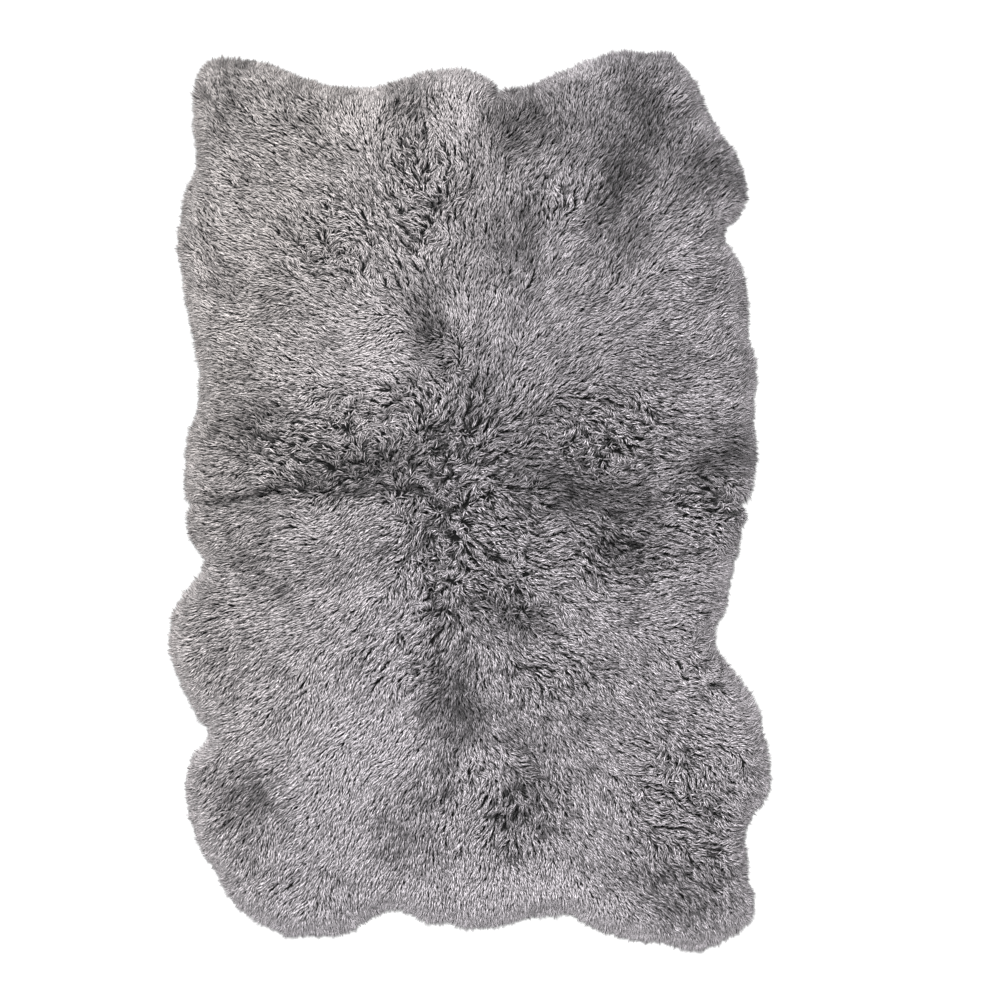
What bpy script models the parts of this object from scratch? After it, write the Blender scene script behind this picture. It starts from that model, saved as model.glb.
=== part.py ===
# Sheepskin rug sewn of four grey pelts, two above two, lying flat with the wool up.
# Metres, +Z up, +Y towards the top of the rug. The origin is on the floor, in the
# middle of the rug's bounding box. Each pelt is one closed body: hide and wool together,
# flat below, lumpy above, with a row of pointed locks of wool round its free edge.

import random
from collections import namedtuple
from math import pi, sin, sqrt

import bmesh
import bpy
from mathutils import Vector, noise
from mathutils.geometry import delaunay_2d_cdt, intersect_point_line

MM = 0.001

# Wool
PILE_HEIGHT = 31 * MM        # from the floor to the top of the wool, on average
LUMP_HEIGHT = 4.5 * MM       # broad swells of the wool
LUMP_SPACING = 120 * MM
CLUMP_HEIGHT = 4.0 * MM      # clumps of a few locks
CLUMP_SPACING = 38 * MM
EDGE_HEIGHT = 13 * MM        # wool at the roots of the edge locks
SHOULDER = 45 * MM           # how far in from the edge the wool reaches its full height
SEAM_DIP = 7 * MM            # how deep the wool parts over a seam
SEAM_DIP_REACH = 24 * MM

# Edge locks
LOCK_REACH = 13 * MM         # from the wool's body to the mean tip
LOCK_REACH_SPREAD = 6 * MM
LOCK_WIDTH = 19 * MM         # 290 to 300 locks on the whole rug
LOCK_WIDTH_SPREAD = 4 * MM
LOCK_LEAN = 0.55             # sideways share of a lock's reach, at most
LOCK_WAIST = 0.52            # how far out the lock still has its waist
LOCK_WAIST_WIDTH = 0.34      # half width there, in shares of the root width
LOCK_WAIST_HEIGHT = 7.5 * MM
LOCK_RIDGE_HEIGHT = 11 * MM
LOCK_RIDGE_PLACE = 0.7       # where the ridge lies, in shares of the way to the waist
STRAIGHT_LOCKS = 2           # how many locks next to a seam don't lean
TIP_HEIGHT = 3 * MM
LOCKLESS_END = 7 * MM        # left free next to a seam, so that neighbours stay apart

# Mesh
SEAM_GAP = 0.3 * MM
CURVE_STEP = 6 * MM          # spacing of the points that a curve is first read at
SEAM_STEP = 30 * MM
GRID = 33 * MM               # spacing of the points inside a pelt
GRID_JITTER = 0.22
GRID_FROM_RINGS = 0.6        # clearances of the grid, in shares of its spacing
GRID_FROM_SEAMS = 0.45
RING_STEP = 24 * MM
RINGS = (11 * MM, 27 * MM)   # how far in from the edge the rings of points run
RING_FROM_EDGE = 0.8         # clearances of a ring's points, in shares of its inset
RING_FROM_SEAMS = 0.5
MERGE = 0.01 * MM            # points closer than this are one
NORMAL_SPAN = 9              # curve points over which the outward direction is averaged

WOOL_ROUGHNESS = 0.95

Landmark = namedtuple("Landmark", "across along")

# Places on the seams, in millimetres from the rug's middle, from the crossing outwards.
CROSSING = Landmark(-65, 7)
SEAMS = {
    "left": [Landmark(-147, 21), Landmark(-253, 15), Landmark(-365, 23),
             Landmark(-475, -1), Landmark(-571, -3)],
    "top": [Landmark(-47, 121), Landmark(-38, 205), Landmark(-52, 310), Landmark(-47, 425),
            Landmark(-25, 535), Landmark(6, 632), Landmark(31, 705), Landmark(61, 829)],
    "right": [Landmark(-15, -28), Landmark(90, -42), Landmark(195, -34), Landmark(310, -22),
              Landmark(430, -6), Landmark(557, -9)],
    "bottom": [Landmark(-74, -95), Landmark(-68, -215), Landmark(-56, -340),
               Landmark(-38, -445), Landmark(-35, -560), Landmark(-46, -735),
               Landmark(-39, -853)],
}

# Places on the free edge, where the tips of the wool end, clockwise from seam to seam.
Pelt = namedtuple("Pelt", "name first_seam last_seam color edge")
PELTS = [
    Pelt("pelt_upper_left", "left", "top", (0.30, 0.29, 0.285), [
        Landmark(-571, 61), Landmark(-561, 139), Landmark(-543, 201), Landmark(-547, 303),
        Landmark(-565, 375), Landmark(-582, 481), Landmark(-586, 521), Landmark(-571, 609),
        Landmark(-546, 685), Landmark(-557, 781), Landmark(-545, 861), Landmark(-517, 889),
        Landmark(-439, 885), Landmark(-371, 863), Landmark(-299, 837), Landmark(-219, 826),
        Landmark(-139, 845), Landmark(-53, 867), Landmark(11, 857)]),
    Pelt("pelt_upper_right", "top", "right", (0.25, 0.24, 0.25), [
        Landmark(121, 831), Landmark(189, 865), Landmark(277, 895), Landmark(341, 901),
        Landmark(399, 896), Landmark(445, 849), Landmark(483, 765), Landmark(529, 701),
        Landmark(555, 629), Landmark(543, 581), Landmark(509, 535), Landmark(542, 469),
        Landmark(555, 403), Landmark(556, 341), Landmark(573, 265), Landmark(567, 173),
        Landmark(573, 89), Landmark(568, 45)]),
    Pelt("pelt_lower_right", "right", "bottom", (0.25, 0.24, 0.25), [
        Landmark(545, -63), Landmark(524, -143), Landmark(513, -211), Landmark(487, -259),
        Landmark(510, -323), Landmark(571, -407), Landmark(599, -525), Landmark(600, -579),
        Landmark(571, -622), Landmark(550, -668), Landmark(553, -725), Landmark(569, -811),
        Landmark(553, -855), Landmark(457, -901), Landmark(381, -886), Landmark(301, -875),
        Landmark(197, -829), Landmark(129, -835), Landmark(41, -855)]),
    Pelt("pelt_lower_left", "bottom", "left", (0.29, 0.28, 0.285), [
        Landmark(-89, -845), Landmark(-147, -817), Landmark(-190, -829), Landmark(-255, -865),
        Landmark(-341, -873), Landmark(-399, -859), Landmark(-471, -811), Landmark(-502, -755),
        Landmark(-548, -677), Landmark(-569, -587), Landmark(-559, -513), Landmark(-523, -477),
        Landmark(-552, -415), Landmark(-587, -350), Landmark(-601, -275), Landmark(-587, -207),
        Landmark(-529, -129), Landmark(-560, -79)]),
]


def clear_scene():
    for obj in list(bpy.data.objects):
        bpy.data.objects.remove(obj, do_unlink=True)


def smooth_curve(landmarks):
    """Points every CURVE_STEP on a smooth curve through the landmarks."""
    knots = [Vector((mark.across, mark.along)) * MM for mark in landmarks]
    knots = [2 * knots[0] - knots[1]] + knots + [2 * knots[-1] - knots[-2]]
    points = []
    for index in range(1, len(knots) - 2):
        before_knot, start, end, after_knot = knots[index - 1:index + 3]
        steps = max(2, round((end - start).length / CURVE_STEP))
        for step in range(steps):
            t = step / steps
            points.append(0.5 * (2 * start + (end - before_knot) * t
                                 + (2 * before_knot - 5 * start + 4 * end - after_knot) * t ** 2
                                 + (3 * start - before_knot - 3 * end + after_knot) * t ** 3))
    points.append(knots[-2].copy())
    return points


def left_of(direction):
    return Vector((-direction.y, direction.x))


def offset_curve(points, distance):
    """The curve moved sideways, to its left where the distance is above zero."""
    moved = []
    for index, point in enumerate(points):
        ahead = points[min(index + 1, len(points) - 1)]
        behind = points[max(index - 1, 0)]
        moved.append(point + left_of((ahead - behind).normalized()) * distance)
    return moved


def spaced(points, step):
    """Points at even steps along a curve, both ends kept."""
    lengths = [0.0]
    for a, b in zip(points, points[1:]):
        lengths.append(lengths[-1] + (b - a).length)
    count = max(1, round(lengths[-1] / step))
    return [at_length(points, lengths, lengths[-1] * index / count) for index in range(count + 1)]


def at_length(points, lengths, wanted):
    for index in range(len(points) - 1):
        if lengths[index + 1] >= wanted:
            span = lengths[index + 1] - lengths[index]
            return points[index].lerp(points[index + 1], (wanted - lengths[index]) / span)
    return points[-1].copy()


def outward_directions(points):
    """Away from the pelt at each point of its clockwise edge, smoothed over small bends."""
    directions = []
    for index in range(len(points)):
        ahead = points[min(index + NORMAL_SPAN, len(points) - 1)]
        behind = points[max(index - NORMAL_SPAN, 0)]
        directions.append(left_of((ahead - behind).normalized()))
    return directions


def edge_locks(curve, rng):
    """Outline points of a row of pointed locks along the edge, and the ridge inside each.

    A point is its place and its height above the floor.
    """
    roots = offset_curve(curve, -LOCK_REACH)
    outward = outward_directions(curve)
    lengths = [0.0]
    for a, b in zip(roots, roots[1:]):
        lengths.append(lengths[-1] + (b - a).length)
    outline = []
    ridges = []
    at = LOCKLESS_END
    end = lengths[-1] - LOCKLESS_END
    while at < end - LOCK_WIDTH / 2:
        width = min(LOCK_WIDTH + rng.uniform(-1, 1) * LOCK_WIDTH_SPREAD, end - at)
        middle = at + width / 2
        nearest = min(range(len(lengths)), key=lambda i: abs(lengths[i] - middle))
        away = outward[nearest]
        side = Vector((away.y, -away.x))
        near_end = min(at, end - at - width) < STRAIGHT_LOCKS * LOCK_WIDTH
        lean = 0.0 if near_end else rng.uniform(-1, 1) * LOCK_LEAN
        reach = LOCK_REACH + rng.uniform(-1, 1) * LOCK_REACH_SPREAD
        root = at_length(roots, lengths, at)
        far_root = at_length(roots, lengths, at + width)
        base = (root + far_root) / 2
        waist = base + (away + side * lean * LOCK_WAIST) * reach * LOCK_WAIST
        tip = base + (away + side * lean) * reach
        half = side * width * LOCK_WAIST_WIDTH
        outline.append((root, EDGE_HEIGHT))
        outline.append((waist - half, LOCK_WAIST_HEIGHT))
        outline.append((tip, TIP_HEIGHT))
        outline.append((waist + half, LOCK_WAIST_HEIGHT))
        ridges.append((base.lerp(waist, LOCK_RIDGE_PLACE), LOCK_RIDGE_HEIGHT))
        at += width
    outline.append((at_length(roots, lengths, at), EDGE_HEIGHT))
    return outline, ridges


def distance_to(point, polyline):
    return min(
        (closest_on_segment(point, a, b) - point).length for a, b in zip(polyline, polyline[1:]))


def closest_on_segment(point, a, b):
    place, share = intersect_point_line(point, a, b)
    if share <= 0:
        return a
    if share >= 1:
        return b
    return place


def wool_height(place, edge_distance, seam_distance):
    """Height of the wool: lumps and clumps, rounded down at the edge, parted at a seam."""
    lumps = noise.noise(Vector((place.x, place.y, 0.0)) / LUMP_SPACING) * 2
    clumps = noise.noise(Vector((place.x, place.y, 1.0)) / CLUMP_SPACING) * 2
    height = PILE_HEIGHT + lumps * LUMP_HEIGHT + clumps * CLUMP_HEIGHT
    share = min(edge_distance / SHOULDER, 1.0)
    height = EDGE_HEIGHT + (height - EDGE_HEIGHT) * sqrt(1 - (1 - share) ** 2)
    if seam_distance < SEAM_DIP_REACH:
        height -= SEAM_DIP * sin((1 - seam_distance / SEAM_DIP_REACH) * pi / 2) * share
    return height


def pelt_points(pelt, curves, rng):
    """Outline points with their heights, then the points inside, with theirs."""
    first = curves[pelt.first_seam]
    last = curves[pelt.last_seam]
    edge = smooth_curve(
        [SEAMS[pelt.first_seam][-1]] + pelt.edge + [SEAMS[pelt.last_seam][-1]])
    teeth, ridges = edge_locks(edge, rng)
    body_edge = offset_curve(edge, -LOCK_REACH)

    out_side = offset_curve(first, -SEAM_GAP / 2)
    back_side = offset_curve(last, SEAM_GAP / 2)
    corner = corner_between(out_side, back_side)
    out_points = [corner] + short_of(spaced(out_side, SEAM_STEP)[1:], first[-1])
    back_points = short_of(spaced(back_side, SEAM_STEP)[1:], last[-1])
    seam_lines = [first, last]

    def height(place):
        seam_distance = min(distance_to(place, line) for line in seam_lines)
        return wool_height(place, distance_to(place, body_edge), seam_distance)

    outline = [(place, height(place)) for place in out_points]
    outline += teeth
    outline += [(place, height(place)) for place in reversed(back_points)]

    loop = [place for place, _ in outline]
    inside = list(ridges)
    for inset in RINGS:
        for place in spaced(offset_curve(edge, -LOCK_REACH - inset), RING_STEP)[1:-1]:
            clear = distance_to(place, body_edge) > inset * RING_FROM_EDGE
            to_seam = min(distance_to(place, line) for line in seam_lines)
            if clear and to_seam > inset * RING_FROM_SEAMS:
                inside.append((place, height(place)))
    inside += grid_points(loop, body_edge, seam_lines, height, rng)
    return outline, inside


def short_of(points, seam_end):
    """A seam side's points that lie inside the wool's body."""
    return [place for place in points if (place - seam_end).length > LOCK_REACH]


def corner_between(a, b):
    """Where two seam sides meet at the crossing of the seams."""
    along_a = (a[1] - a[0]).normalized()
    along_b = (b[1] - b[0]).normalized()
    across = b[0] - a[0]
    turn = along_a.x * along_b.y - along_a.y * along_b.x
    return a[0] + along_a * (across.x * along_b.y - across.y * along_b.x) / turn


def grid_points(loop, body_edge, seam_lines, height, rng):
    """Jittered points inside the pelt, clear of its rings and seams."""
    low = Vector((min(p.x for p in loop), min(p.y for p in loop)))
    high = Vector((max(p.x for p in loop), max(p.y for p in loop)))
    row_step = GRID * sqrt(3) / 2
    points = []
    for row in range(int((high.y - low.y) / row_step) + 1):
        for column in range(int((high.x - low.x) / GRID) + 1):
            shift = Vector((rng.uniform(-1, 1), rng.uniform(-1, 1))) * GRID * GRID_JITTER
            place = low + Vector(((column + row % 2 / 2) * GRID, row * row_step)) + shift
            if not inside_loop(place, loop):
                continue
            if distance_to(place, body_edge) < RINGS[-1] + GRID * GRID_FROM_RINGS:
                continue
            if min(distance_to(place, line) for line in seam_lines) < GRID * GRID_FROM_SEAMS:
                continue
            points.append((place, height(place)))
    return points


def inside_loop(place, loop):
    within = False
    for a, b in zip(loop, loop[1:] + loop[:1]):
        if (a.y > place.y) != (b.y > place.y):
            if place.x < a.x + (place.y - a.y) / (b.y - a.y) * (b.x - a.x):
                within = not within
    return within


def pelt_mesh(name, outline, inside):
    """The top laid over the points, walled down to a flat underside."""
    points = outline + inside
    rim = list(range(len(outline)))
    rim_edges = [(index, (index + 1) % len(rim)) for index in rim]
    places, _, faces, sources, _, _ = delaunay_2d_cdt(
        [place for place, _ in points], rim_edges, [], 1, MERGE)
    bm = bmesh.new()
    flat = [bm.verts.new((place.x, place.y, 0.0)) for place in places]
    for face in faces:
        bm.faces.new([flat[index] for index in face])
    tops = bmesh.ops.extrude_face_region(bm, geom=bm.faces[:], use_keep_orig=True)
    raised = {(round(v.co.x, 7), round(v.co.y, 7)): v
              for v in tops["geom"] if isinstance(v, bmesh.types.BMVert)}
    for vert, origin in zip(flat, sources):
        raised[(round(vert.co.x, 7), round(vert.co.y, 7))].co.z = points[origin[0]][1]
    underside = [face for face in bm.faces if all(v.co.z == 0.0 for v in face.verts)]
    sole = bmesh.ops.dissolve_faces(bm, faces=underside, use_verts=True)["region"]
    bmesh.ops.triangulate(bm, faces=sole)
    bmesh.ops.recalc_face_normals(bm, faces=bm.faces[:])
    mesh = bpy.data.meshes.new(name)
    bm.to_mesh(mesh)
    bm.free()
    return mesh


def wool_material(name, color):
    material = bpy.data.materials.new(name)
    material.use_nodes = True
    shader = material.node_tree.nodes["Principled BSDF"]
    shader.inputs["Base Color"].default_value = (*color, 1.0)
    shader.inputs["Roughness"].default_value = WOOL_ROUGHNESS
    shader.inputs["Metallic"].default_value = 0.0
    return material


def bounding_middle(outlines):
    places = [place for outline in outlines for place, _ in outline]
    low_x = min(place.x for place in places)
    high_x = max(place.x for place in places)
    low_y = min(place.y for place in places)
    high_y = max(place.y for place in places)
    return Vector(((low_x + high_x) / 2, (low_y + high_y) / 2))


def build_rug():
    collection = bpy.data.collections.new("sheepskin_rug")
    bpy.context.scene.collection.children.link(collection)
    curves = {name: smooth_curve([CROSSING] + marks) for name, marks in SEAMS.items()}
    built = []
    for number, pelt in enumerate(PELTS):
        outline, inside = pelt_points(pelt, curves, random.Random(number + 1))
        built.append((pelt, outline, inside))
    middle = bounding_middle([outline for _, outline, _ in built])
    for pelt, outline, inside in built:
        centred = [[(place - middle, height) for place, height in points]
                   for points in (outline, inside)]
        body = bpy.data.objects.new(pelt.name, pelt_mesh(pelt.name, *centred))
        body.data.materials.append(wool_material(pelt.name + "_wool", pelt.color))
        collection.objects.link(body)


clear_scene()
build_rug()
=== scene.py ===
import math
import random

import bmesh
import bpy
import numpy as np
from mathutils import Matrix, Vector, noise
from mathutils.bvhtree import BVHTree
from mathutils.geometry import delaunay_2d_cdt
from mathutils.kdtree import KDTree


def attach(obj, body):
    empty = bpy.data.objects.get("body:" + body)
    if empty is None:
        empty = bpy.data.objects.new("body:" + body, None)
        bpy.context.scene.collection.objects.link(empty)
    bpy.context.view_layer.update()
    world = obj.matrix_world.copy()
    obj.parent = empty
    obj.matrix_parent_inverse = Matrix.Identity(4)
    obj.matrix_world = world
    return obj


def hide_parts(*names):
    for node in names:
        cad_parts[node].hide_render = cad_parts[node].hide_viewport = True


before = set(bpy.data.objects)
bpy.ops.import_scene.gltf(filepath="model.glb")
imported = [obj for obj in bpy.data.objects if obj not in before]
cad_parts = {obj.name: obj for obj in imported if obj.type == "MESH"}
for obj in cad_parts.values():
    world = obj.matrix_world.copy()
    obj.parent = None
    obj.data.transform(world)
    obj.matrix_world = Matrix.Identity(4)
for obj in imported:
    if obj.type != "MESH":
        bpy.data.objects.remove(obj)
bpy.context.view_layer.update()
scene = bpy.context.scene
print("frame loaded:", sorted(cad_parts))

pelts = ["pelt_upper_left", "pelt_upper_right", "pelt_lower_left", "pelt_lower_right"]
crossing = np.array((-0.065, 0.007))  # where the four pelts meet

# Camera and room

view = {"centreAcross": 0.061, "centreAlong": 0.001, "height": 5.0, "widthShown": 2.0,
        "sensor": 36.0, "woolPlane": 0.03, "farthest": 50.0}
room = {"floorSize": 30.0, "floorTone": 0.78, "floorRoughness": 0.9, "skyTone": (1.0, 1.0, 1.0),
        "skyStrength": 1.04, "keyStrength": 3.0, "keySpread": 24.0, "keyLean": 46.0,
        "keyFrom": 118.0}


def makeCamera():
    camera = bpy.data.cameras.new("topCamera")
    camera.sensor_width = view["sensor"]
    camera.lens = view["sensor"] * (view["height"] - view["woolPlane"]) / view["widthShown"]
    camera.clip_end = view["farthest"]
    holder = bpy.data.objects.new("topCamera", camera)
    holder.location = (view["centreAcross"], view["centreAlong"], view["height"])
    scene.collection.objects.link(holder)
    scene.camera = holder


def makeKeyLight():
    # a large, even softbox, far off at the head of the rug
    light = bpy.data.lights.new("keySoftbox", "SUN")
    light.energy = room["keyStrength"]
    light.angle = math.radians(room["keySpread"])
    holder = bpy.data.objects.new("keySoftbox", light)
    holder.rotation_euler = (0.0, math.radians(room["keyLean"]), math.radians(room["keyFrom"]))
    scene.collection.objects.link(holder)


def makeRoom():
    bpy.ops.mesh.primitive_plane_add(size=room["floorSize"])
    floor = bpy.context.object
    floor.name = "floor"
    paint = bpy.data.materials.new("floorPaint")
    paint.use_nodes = True
    shader = paint.node_tree.nodes["Principled BSDF"]
    shader.inputs["Base Color"].default_value = (*(room["floorTone"],) * 3, 1.0)
    shader.inputs["Roughness"].default_value = room["floorRoughness"]
    floor.data.materials.append(paint)
    world = bpy.data.worlds.new("studio")
    scene.world = world
    world.use_nodes = True
    sky = world.node_tree.nodes["Background"]
    sky.inputs["Color"].default_value = (*room["skyTone"], 1.0)
    sky.inputs["Strength"].default_value = room["skyStrength"]
    makeKeyLight()
    scene.view_settings.view_transform = "Standard"


makeCamera()
makeRoom()
print("camera and room ready")

# Outlines, read from the undersides of the four solids

outlineSizes = {"step": 0.004, "smoothing": 11, "seamReach": 0.0015, "weld": 1e-5,
                "insetSmoothing": 5, "foldShare": 0.93, "seamEnd": 0.5, "rimEnd": 0.4}
leastSpan = 1e-12  # keeps two points in one place from dividing by nothing


def undersideLoop(node):
    # corners of the flat underside, in order
    weld = outlineSizes["weld"]
    bm = bmesh.new()
    bm.from_mesh(node.data)
    bmesh.ops.remove_doubles(bm, verts=bm.verts[:], dist=weld)
    flat = {face for face in bm.faces if all(abs(v.co.z) < weld for v in face.verts)}
    border = [e for e in bm.edges if sum(face in flat for face in e.link_faces) == 1]
    following = {}
    for edge in border:
        face = next(face for face in edge.link_faces if face in flat)
        for loop in face.loops:
            if loop.edge == edge:
                following[loop.link_loop_next.vert.index] = loop.vert.index
    start = next(iter(following))
    order = [start]
    while following[order[-1]] != start:
        order.append(following[order[-1]])
    bm.verts.ensure_lookup_table()
    places = np.array([bm.verts[i].co.xy[:] for i in order])
    bm.free()
    return places


def evenSteps(places, step, closed=False):
    if closed:
        places = np.vstack([places, places[:1]])
    lengths = np.concatenate([[0], np.cumsum(np.linalg.norm(np.diff(places, axis=0), axis=1))])
    count = max(2, round(lengths[-1] / step)) + (0 if closed else 1)
    at = np.linspace(0, lengths[-1], count, endpoint=not closed)
    return np.stack([np.interp(at, lengths, places[:, k]) for k in (0, 1)], axis=1)


def smoothed(places, window):
    half = window // 2
    padded = np.vstack([np.repeat(places[:1], half, 0), places, np.repeat(places[-1:], half, 0)])
    kernel = np.hanning(window + 2)[1:-1]
    kernel /= kernel.sum()
    return np.stack([np.convolve(padded[:, k], kernel, "valid") for k in (0, 1)], axis=1)


def inwardOf(places):
    # the pelt lies to the left of its line, which runs anticlockwise
    along = np.gradient(places, axis=0)
    along /= np.linalg.norm(along, axis=1)[:, None]
    return np.stack([-along[:, 1], along[:, 0]], axis=1)


def signedArea(places):
    x, y = places.T
    return 0.5 * float(np.sum(x * np.roll(y, -1) - np.roll(x, -1) * y))


def readOutlines():
    loops = {}
    for name in pelts:
        loop = evenSteps(undersideLoop(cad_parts[name]), outlineSizes["step"], closed=True)
        loops[name] = loop if signedArea(loop) > 0 else loop[::-1]
    outlines = {}
    for name in pelts:
        others = np.vstack([loops[other] for other in pelts if other != name])
        tree = KDTree(len(others))
        for index, place in enumerate(others):
            tree.insert((*place, 0.0), index)
        tree.balance()
        reach = outlineSizes["step"] / 2 + outlineSizes["seamReach"]
        onSeam = np.array([tree.find((*place, 0.0))[2] < reach for place in loops[name]])
        starts = np.nonzero(onSeam & ~np.roll(onSeam, 1))[0]
        lengths = [next(k for k in range(1, len(onSeam) + 1) if not onSeam[(s + k) % len(onSeam)])
                   for s in starts]
        start = int(starts[int(np.argmax(lengths))])
        seamCount = max(lengths)
        turned = np.roll(loops[name], -start, axis=0)
        rim = smoothed(turned[seamCount:], outlineSizes["smoothing"])
        outlines[name] = {"seam": turned[:seamCount], "rim": rim}
    return outlines


outlines = readOutlines()
print("outlines read:", {name: len(o["rim"]) for name, o in outlines.items()})


def insetLoop(name, inset, step):
    # the pelt's line with its free edge moved inwards, without folds in tight bays
    sizes = outlineSizes
    seam, rim = outlines[name]["seam"], outlines[name]["rim"]
    inner = rim + inwardOf(rim) * inset
    clear = distanceToLine(inner, rim) > inset * sizes["foldShare"]
    ends = np.stack([rim[0], rim[-1]])
    seamToEnds, rimToEnds = (np.linalg.norm(line[:, None] - ends[None], axis=2).min(axis=1)
                             for line in (seam, rim))
    seam = seam[seamToEnds > inset + step * sizes["seamEnd"]]
    inner = inner[(rimToEnds > step * sizes["rimEnd"]) & clear]
    return evenSteps(seam, step), evenSteps(smoothed(inner, sizes["insetSmoothing"]), step)


def insideLoop(points, loop):
    within = np.zeros(len(points), bool)
    for a, b in zip(loop, np.roll(loop, -1, axis=0)):
        if a[1] == b[1]:
            continue
        straddles = (a[1] > points[:, 1]) != (b[1] > points[:, 1])
        crossingAt = a[0] + (points[:, 1] - a[1]) / (b[1] - a[1]) * (b[0] - a[0])
        within ^= straddles & (points[:, 0] < crossingAt)
    return within


def distanceToLine(points, line):
    nearest = np.full(len(points), np.inf)
    for a, b in zip(line[:-1], line[1:]):
        span = b - a
        share = np.clip((points - a) @ span / max(span @ span, leastSpan), 0, 1)
        nearest = np.minimum(nearest, np.linalg.norm(points - a - share[:, None] * span, axis=1))
    return nearest


# How the wool lies: places on the rug where the photograph shows a lay of its own.
# across, along: place in metres; reach: how far it holds; lay: degrees that the tips point to,
# anticlockwise from +X; hold: how firmly it overrides the lay from the crossing outwards.
layPlaces = [
    {"across": -0.45, "along": 0.68, "reach": 0.12, "lay": 132, "hold": 0.7},
    {"across": -0.27, "along": 0.70, "reach": 0.13, "lay": 150, "hold": 0.6},
    {"across": -0.14, "along": 0.80, "reach": 0.08, "lay": 70, "hold": 0.8},
    {"across": -0.04, "along": 0.76, "reach": 0.06, "lay": 100, "hold": 0.8},
    {"across": -0.40, "along": 0.35, "reach": 0.15, "lay": 185, "hold": 0.6},
    {"across": -0.16, "along": 0.30, "reach": 0.08, "lay": 200, "hold": 0.8},
    {"across": -0.35, "along": 0.12, "reach": 0.10, "lay": 190, "hold": 0.6},
    {"across": 0.28, "along": 0.62, "reach": 0.15, "lay": 60, "hold": 0.4},
    {"across": 0.38, "along": 0.40, "reach": 0.12, "lay": 5, "hold": 0.7},
    {"across": 0.30, "along": 0.14, "reach": 0.12, "lay": -15, "hold": 0.7},
    {"across": 0.45, "along": -0.02, "reach": 0.08, "lay": -5, "hold": 0.8},
    {"across": -0.34, "along": -0.18, "reach": 0.12, "lay": 205, "hold": 0.6},
    {"across": -0.20, "along": -0.07, "reach": 0.07, "lay": 215, "hold": 0.8},
    {"across": -0.16, "along": -0.34, "reach": 0.12, "lay": 222, "hold": 0.6},
    {"across": -0.30, "along": -0.62, "reach": 0.14, "lay": 225, "hold": 0.5},
    {"across": -0.12, "along": -0.75, "reach": 0.09, "lay": 250, "hold": 0.7},
    {"across": 0.01, "along": -0.63, "reach": 0.06, "lay": 240, "hold": 0.9},
    {"across": 0.25, "along": -0.40, "reach": 0.13, "lay": -35, "hold": 0.6},
    {"across": 0.42, "along": -0.60, "reach": 0.13, "lay": -30, "hold": 0.6},
    {"across": 0.20, "along": -0.75, "reach": 0.10, "lay": -70, "hold": 0.6},
    {"across": -0.02, "along": -0.13, "reach": 0.09, "lay": 300, "hold": 0.7},
    {"across": -0.02, "along": 0.12, "reach": 0.10, "lay": 60, "hold": 0.5},
    {"across": 0.06, "along": 0.01, "reach": 0.05, "lay": -20, "hold": 0.8},
]

# The broad places where the wool is darker or lighter: centre, half width and half length
# in metres, and the change of tone. Smaller patches are left to the wool's own noise.
tonePlaces = [
    {"across": -0.48, "along": 0.81, "wide": 0.04, "long": 0.08, "tone": -0.18},
    {"across": -0.11, "along": 0.78, "wide": 0.04, "long": 0.05, "tone": -0.28},
    {"across": 0.11, "along": 0.75, "wide": 0.07, "long": 0.06, "tone": -0.26},
    {"across": 0.34, "along": 0.78, "wide": 0.07, "long": 0.08, "tone": -0.28},
    {"across": 0.29, "along": 0.60, "wide": 0.05, "long": 0.09, "tone": -0.32},
    {"across": 0.48, "along": 0.65, "wide": 0.05, "long": 0.06, "tone": -0.28},
    {"across": 0.07, "along": 0.52, "wide": 0.05, "long": 0.06, "tone": -0.20},
    {"across": -0.09, "along": 0.33, "wide": 0.04, "long": 0.07, "tone": -0.28},
    {"across": -0.42, "along": 0.14, "wide": 0.08, "long": 0.04, "tone": -0.24},
    {"across": -0.23, "along": 0.07, "wide": 0.11, "long": 0.04, "tone": -0.30},
    {"across": 0.02, "along": 0.11, "wide": 0.14, "long": 0.12, "tone": -0.18},
    {"across": 0.24, "along": 0.02, "wide": 0.11, "long": 0.05, "tone": -0.34},
    {"across": 0.31, "along": -0.09, "wide": 0.06, "long": 0.04, "tone": -0.36},
    {"across": 0.50, "along": 0.09, "wide": 0.05, "long": 0.05, "tone": -0.34},
    {"across": 0.07, "along": -0.21, "wide": 0.07, "long": 0.05, "tone": -0.34},
    {"across": -0.03, "along": -0.42, "wide": 0.04, "long": 0.11, "tone": -0.38},
    {"across": 0.09, "along": -0.61, "wide": 0.05, "long": 0.10, "tone": -0.28},
    {"across": 0.20, "along": -0.43, "wide": 0.10, "long": 0.06, "tone": -0.16},
    {"across": -0.12, "along": -0.67, "wide": 0.05, "long": 0.06, "tone": -0.22},
    {"across": -0.43, "along": -0.60, "wide": 0.06, "long": 0.05, "tone": -0.26},
    {"across": 0.43, "along": -0.78, "wide": 0.09, "long": 0.08, "tone": -0.28},
    {"across": -0.20, "along": 0.76, "wide": 0.05, "long": 0.05, "tone": 0.28},
    {"across": -0.04, "along": 0.79, "wide": 0.04, "long": 0.07, "tone": 0.32},
    {"across": -0.17, "along": 0.30, "wide": 0.05, "long": 0.06, "tone": 0.24},
    {"across": -0.22, "along": -0.44, "wide": 0.10, "long": 0.18, "tone": 0.22},
    {"across": 0.01, "along": -0.59, "wide": 0.03, "long": 0.07, "tone": 0.38},
    {"across": 0.08, "along": -0.78, "wide": 0.15, "long": 0.05, "tone": 0.26},
    {"across": 0.33, "along": -0.55, "wide": 0.05, "long": 0.05, "tone": 0.24},
    {"across": 0.52, "along": -0.56, "wide": 0.05, "long": 0.12, "tone": 0.20},
    {"across": -0.44, "along": -0.08, "wide": 0.14, "long": 0.10, "tone": -0.12},
]
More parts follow.
